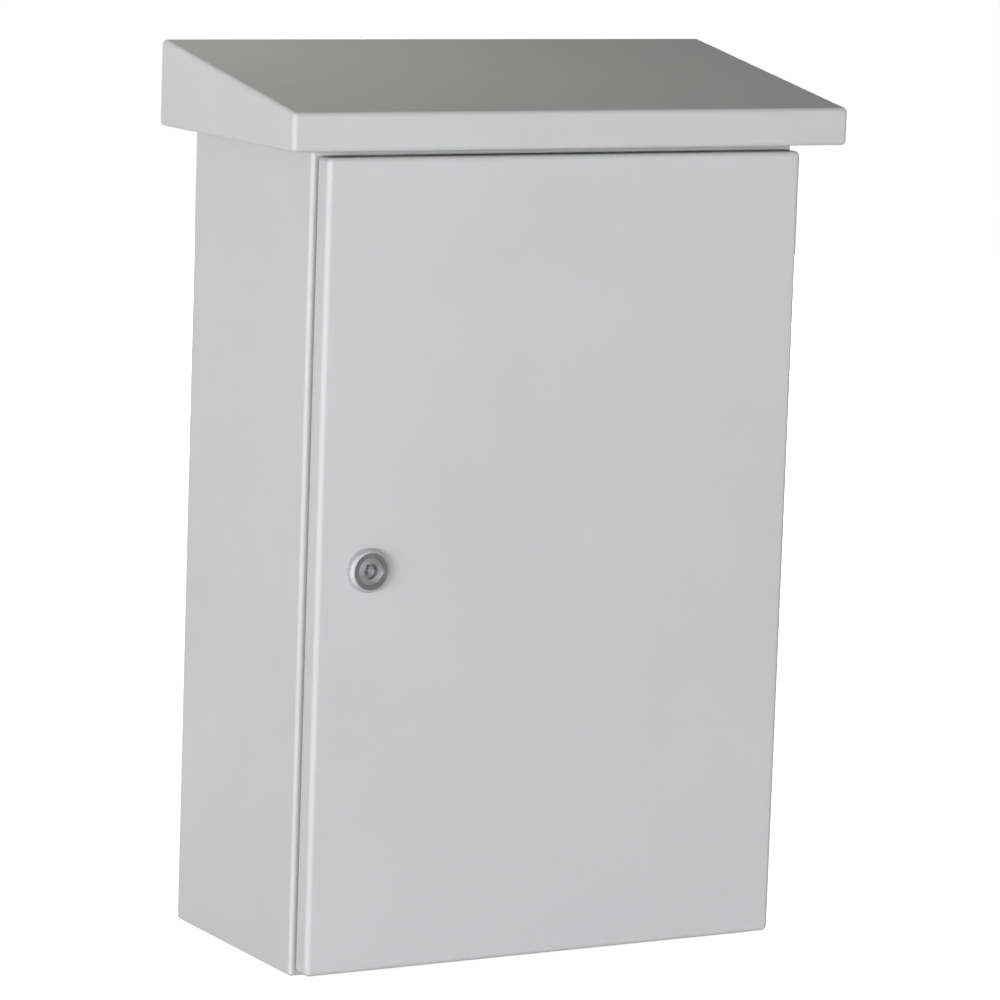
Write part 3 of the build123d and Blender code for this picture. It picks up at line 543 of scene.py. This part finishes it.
def cross_outline(reach, half):
    """Corners of a plus sign."""
    quarter = [(half, reach), (half, half), (reach, half)]
    corners = []
    for _ in range(4):
        corners.extend(quarter)
        quarter = [(z, -x) for x, z in quarter]
    return corners


def face_between(shell, outer, inner, middle):
    """Fills the flat ring between a circle and a star-shaped outline inside it."""
    def turn(index):
        offset = shell.points[index] - middle
        return math.atan2(offset.z, offset.x)

    def once_around(ring):
        """The ring in order and closed, and the turn at the end of each of its sides."""
        ordered = sorted(ring, key=turn)
        turns = [turn(index) for index in ordered]
        return ordered + ordered[:1], turns[1:] + [turns[0] + 2 * math.pi]

    outer, outer_turns = once_around(outer)
    inner, inner_turns = once_around(inner)
    first, second = 0, 0
    while first < len(outer_turns) or second < len(inner_turns):
        inner_done = second == len(inner_turns)
        if inner_done or (first < len(outer_turns) and outer_turns[first] <= inner_turns[second]):
            shell.faces.append((outer[first], outer[first + 1], inner[second]))
            first += 1
        else:
            shell.faces.append((outer[first], inner[second + 1], inner[second]))
            second += 1


def clamp_screw(shell, place, radius):
    """A screw head that faces the front, with a cross recess around the place on its face."""
    rows = shell.tube([
        circle(place, towards_front, radius, -screw_length),
        circle(place, towards_front, radius, -screw_rim),
        circle(place, towards_front, radius - screw_rim, 0.0),
    ])
    shell.lid(reversed(rows[0]))
    arms = cross_outline(recess_reach * radius, recess_half * radius)
    upper = [place + Vector((x, 0.0, z)) for x, z in arms]
    lower = [point + recess_depth * towards_wall for point in upper]
    top, floor = shell.tube([upper, lower])
    shell.lid(floor)
    face_between(shell, rows[2], top, place)


def rounded_outline(middle, half_width, half_height, corner, y):
    """Points of an upright rectangle with round corners, facing the front."""
    points = []
    for quadrant, (side_x, side_z) in enumerate(((1, 1), (-1, 1), (-1, -1), (1, -1))):
        centre_x = middle.x + side_x * (half_width - corner)
        centre_z = middle.z + side_z * (half_height - corner)
        for step in range(corner_steps):
            turn = math.pi / 2 * (quadrant + step / (corner_steps - 1))
            x = centre_x + corner * math.cos(turn)
            z = centre_z + corner * math.sin(turn)
            points.append(Vector((x, y, z)))
    return points


def strip(shell, middle, half_width, half_height, rise, corner):
    """A thin plate that lies on a surface facing the front, with an eased edge."""
    ease = strip_ease_share * rise
    shell.stack([
        rounded_outline(middle, half_width, half_height, corner, middle.y + overlap),
        rounded_outline(middle, half_width, half_height, corner, middle.y - rise + ease),
        rounded_outline(middle, half_width - ease, half_height - ease, corner, middle.y - rise),
    ])


def add_device_screws():
    """Clamping screws at both ends of each module of the switchgear."""
    shell = Shell()
    for node in devices:
        low, high, middle = box_of(node)
        face = low.y + device_shoulder_behind_nose + device_screw_sink
        modules = round((high.x - low.x) / device_pitch)
        for x in in_a_row(middle.x, modules, device_pitch):
            for side in (-1, 1):
                place = Vector((x, face, middle.z + side * device_screw_from_middle))
                clamp_screw(shell, place, device_screw_radius)
    shell.piece("device_clamp_screws", "enclosure", "zinc")


def add_device_strips():
    """A blank marking strip across the upper end of each device's nose."""
    shell = Shell()
    for node in devices:
        low, high, middle = box_of(node)
        place = Vector((middle.x, low.y, middle.z + strip_from_middle))
        half_width = (high.x - low.x) / 2 - strip_margin
        strip(shell, place, half_width, strip_half_height, strip_rise, strip_corner)
    piece = shell.piece("device_marking_strips", "enclosure", "device_plastic")
    piece.data.materials[0] = moulded("marking_strip", strip_colour, 0.22, 0.30)


def add_switch_marks():
    """A line for ON beside the upper half of each lever, and a ring for OFF beside the lower."""
    shell = Shell()
    for node, lever in zip(devices, device_levers):
        low, _, middle = box_of(node)
        lever_low, _, _ = box_of(lever)
        x = (low.x + lever_low.x) / 2
        on_place = Vector((x, low.y, middle.z + mark_from_middle))
        strip(shell, on_place, mark_half_width, mark_half_height, mark_rise, mark_corner)
        off_place = Vector((x, low.y, middle.z - mark_from_middle))
        inner = mark_half_height - 2 * mark_half_width
        rows = shell.tube([
            circle(off_place, towards_front, mark_half_height, -overlap),
            circle(off_place, towards_front, mark_half_height, mark_rise),
            circle(off_place, towards_front, inner, mark_rise),
            circle(off_place, towards_front, inner, -overlap),
        ])
        shell.skin(rows[-1], rows[0])
    shell.piece("switch_marks", "enclosure", "lever_plastic")


def terminal_row():
    """The X of the middle of each terminal block, and the middle of the row's front."""
    low, high, middle = box_of("terminal_blocks")
    count = round((high.x - low.x) / terminal_pitch)
    return in_a_row(middle.x, count, terminal_pitch), Vector((middle.x, low.y, middle.z))


def add_terminal_screws():
    """Two clamping screws in each terminal block."""
    columns, front = terminal_row()
    shell = Shell()
    for x in columns:
        for side in (-1, 1):
            z = front.z + side * terminal_screw_from_middle
            clamp_screw(shell, Vector((x, front.y + terminal_screw_sink, z)), terminal_screw_radius)
    shell.piece("terminal_clamp_screws", "enclosure", "zinc")


def add_terminal_tags():
    """A blank marker tag on each terminal block."""
    columns, front = terminal_row()
    shell = Shell()
    for x in columns:
        place = Vector((x, front.y, front.z))
        strip(shell, place, tag_half_width, tag_half_height, strip_rise, strip_corner)
    piece = shell.piece("terminal_marker_tags", "enclosure", "device_plastic")
    piece.data.materials[0] = moulded("marker_tag", strip_colour, 0.32, 0.44)


def thread_radii(height, length):
    """The radii around a thread at a height, with the chamfer of its far end."""
    chamfered = thread_radius - thread_depth + length - height
    radii = []
    for step in range(round_steps):
        phase = (height / thread_pitch - step / round_steps) % 1.0
        depth = thread_depth * abs(2 * phase - 1)
        radii.append(min(thread_radius - depth, chamfered))
    return radii


def threaded_stud(shell, root, along, length):
    """A stud with a helical thread along its length and a chamfered end."""
    rows = int(length / thread_pitch * thread_rows_per_turn)
    heights = [length * row / rows for row in range(rows + 1)]
    shell.stack([
        around_axis(root + along * height, along, thread_radii(height, length)) for height in heights
    ])


def add_plate_studs():
    """The four studs of the mounting plate, with their collars."""
    low, high, _ = box_of("mounting_plate_studs")
    _, plate_high, _ = box_of("mounting_plate")
    shell = Shell()
    for x in (low.x + collar_radius, high.x - collar_radius):
        for z in (low.z + collar_radius, high.z - collar_radius):
            collar_height = high.y - plate_high.y
            profile = [(0.0, collar_radius), (collar_height, collar_radius)]
            lathe(shell, Vector((x, high.y, z)), towards_front, profile)
            start = Vector((x, plate_high.y, z))
            threaded_stud(shell, start, towards_front, plate_high.y - low.y)
    piece = shell.piece("mounting_plate_stud_threads", "enclosure", "zinc")
    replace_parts(piece, "mounting_plate_studs")


def add_earth_studs():
    """The earth stud on the housing's side, and the one on the door."""
    low, high, middle = box_of("body_earth_stud")
    shell = Shell()
    threaded_stud(shell, Vector((high.x, middle.y, middle.z)), towards_left, high.x - low.x)
    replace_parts(shell.piece("body_earth_stud_thread", "enclosure", "zinc"), "body_earth_stud")
    low, high, middle = box_of("door_earth_stud")
    shell = Shell()
    threaded_stud(shell, Vector((middle.x, low.y, middle.z)), towards_wall, high.y - low.y)
    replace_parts(shell.piece("door_earth_stud_thread", "door", "zinc"), "door_earth_stud")


def add_spot_welds():
    """Flat welds in a row along both feet of each stiffener."""
    profile = [(-overlap, weld_radius), (weld_edge_rise, weld_radius), (weld_rise, weld_crown_radius)]
    shell = Shell()
    for node in ("door_stiffener_left", "door_stiffener_right"):
        low, high, middle = box_of(node)
        count = int((high.z - low.z) / weld_pitch)
        for z in in_a_row(middle.z, count, weld_pitch):
            for x in (low.x + weld_from_side, high.x - weld_from_side):
                lathe(shell, Vector((x, low.y + foot_thickness, z)), towards_wall, profile)
    shell.piece("stiffener_spot_welds", "door", "paint")


def camera_turn():
    """The camera's turn, from its yaw, pitch and roll."""
    ahead = Vector((
        math.sin(camera_yaw) * math.cos(camera_pitch),
        math.cos(camera_yaw) * math.cos(camera_pitch),
        -math.sin(camera_pitch),
    ))
    right = Vector((math.cos(camera_yaw), -math.sin(camera_yaw), 0.0))
    down = -right.cross(ahead)
    rolled_right = math.cos(camera_roll) * right - math.sin(camera_roll) * down
    rolled_down = math.sin(camera_roll) * right + math.cos(camera_roll) * down
    return Matrix((rolled_right, -rolled_down, -ahead)).transposed()


def add_camera():
    data = bpy.data.cameras.new("camera")
    data.sensor_width = sensor_width
    data.lens = camera_lens
    data.clip_end = camera_reach
    camera = link("camera", data)
    camera.matrix_world = Matrix.Translation(camera_place) @ camera_turn().to_4x4()
    bpy.context.scene.camera = camera


def background_mask(graph, starts, full):
    """The part of the surroundings behind the panel, as 0 to 1 along Y, and their height."""
    parts = graph.add("ShaderNodeSeparateXYZ", {"Vector": graph.place}).outputs
    return graph.spread(parts["Y"], 0.0, 1.0, starts, full, "SMOOTHSTEP"), parts["Z"]


def shown_white(graph, mask):
    """1 for camera rays, and for rays mirrored or let through by the part where the mask is 1."""
    rays = graph.add("ShaderNodeLightPath").outputs
    mirrored = graph.math("MAXIMUM", rays["Is Glossy Ray"], rays["Is Transmission Ray"])
    return graph.math("MAXIMUM", rays["Is Camera Ray"], graph.math("MULTIPLY", mirrored, mask))


def add_world():
    """Soft fill that is darker overhead, with the white background behind the panel."""
    world = bpy.data.worlds.new("studio")
    bpy.context.scene.world = world
    world.use_nodes = True
    world.node_tree.nodes.clear()
    graph = Graph(world.node_tree, "Generated")
    behind, height = background_mask(graph, backdrop_starts, backdrop_full)
    level = graph.spread(height, world_fill, world_top, fill_fades_from, fill_fades_to, "SMOOTHSTEP")
    horizon = graph.spread(height, 1.0, 0.0, backdrop_fades_from, backdrop_fades_to)
    seen = shown_white(graph, graph.math("MULTIPLY", behind, horizon))
    fill = graph.add("ShaderNodeBackground", {"Color": fill_colour, "Strength": level})
    backdrop = graph.add("ShaderNodeBackground", {"Color": white})
    mix = graph.add("ShaderNodeMixShader", {
        "Fac": seen,
        1: fill.outputs["Background"],
        2: backdrop.outputs["Background"],
    })
    graph.add("ShaderNodeOutputWorld", {"Surface": mix.outputs["Shader"]})


def floor_material():
    """Pale floor that shows white, and keeps the object's shadow."""
    graph = Finish("floor")
    behind, _ = background_mask(graph, floor_white_from, floor_white_to)
    graph.wire(graph.shader, {
        "Base Color": floor_colour,
        "Roughness": floor_roughness,
        "Emission Color": white,
        "Emission Strength": graph.math("MULTIPLY", shown_white(graph, behind), floor_glow),
    })
    return graph.material


def add_floor():
    mesh = bpy.data.meshes.new("floor")
    sides = ((-1, -1), (1, -1), (1, 1), (-1, 1))
    corners = [(x * floor_half, y * floor_half, floor_height) for x, y in sides]
    mesh.from_pydata(corners, [], [(0, 1, 2, 3)])
    mesh.materials.append(floor_material())
    floor = link("floor", mesh)


def around(side, distance):
    """A place by its azimuth, right of straight in front, and its elevation, both in degrees."""
    azimuth, elevation = (math.radians(angle) for angle in side)
    away = Vector((
        math.sin(azimuth) * math.cos(elevation),
        -math.cos(azimuth) * math.cos(elevation),
        math.sin(elevation),
    ))
    return panel_middle + away * distance


def add_area_light(name, place, size, power, tone):
    """A softbox of a width and height that faces the middle of the panel."""
    data = bpy.data.lights.new(name, "AREA")
    data.shape = "RECTANGLE"
    data.size, data.size_y = size
    data.energy = power
    data.color = tone
    light = link(name, data)
    light.location = place
    light.rotation_euler = (place - panel_middle).to_track_quat("Z", "Y").to_euler()
    light.visible_camera = False


bases = slot_colours()
finishes = {slot: makers.get(slot, moulded)(slot, base) for slot, base in bases.items()}
paint_nodes()
add_device_screws()
add_device_strips()
add_switch_marks()
add_terminal_screws()
add_terminal_tags()
add_plate_studs()
add_earth_studs()
add_spot_welds()
add_camera()
add_world()
add_floor()
add_area_light("left", around(left_side, left_distance), left_size, left_power, cool_light)
add_area_light("front", around(front_side, front_distance), front_size, front_power, cool_light)
add_area_light("back", around(back_side, back_distance), back_size, back_power, cool_light)
add_area_light("top", top_place, top_size, top_power, warm_light)
bpy.context.scene.view_settings.view_transform = "Standard"
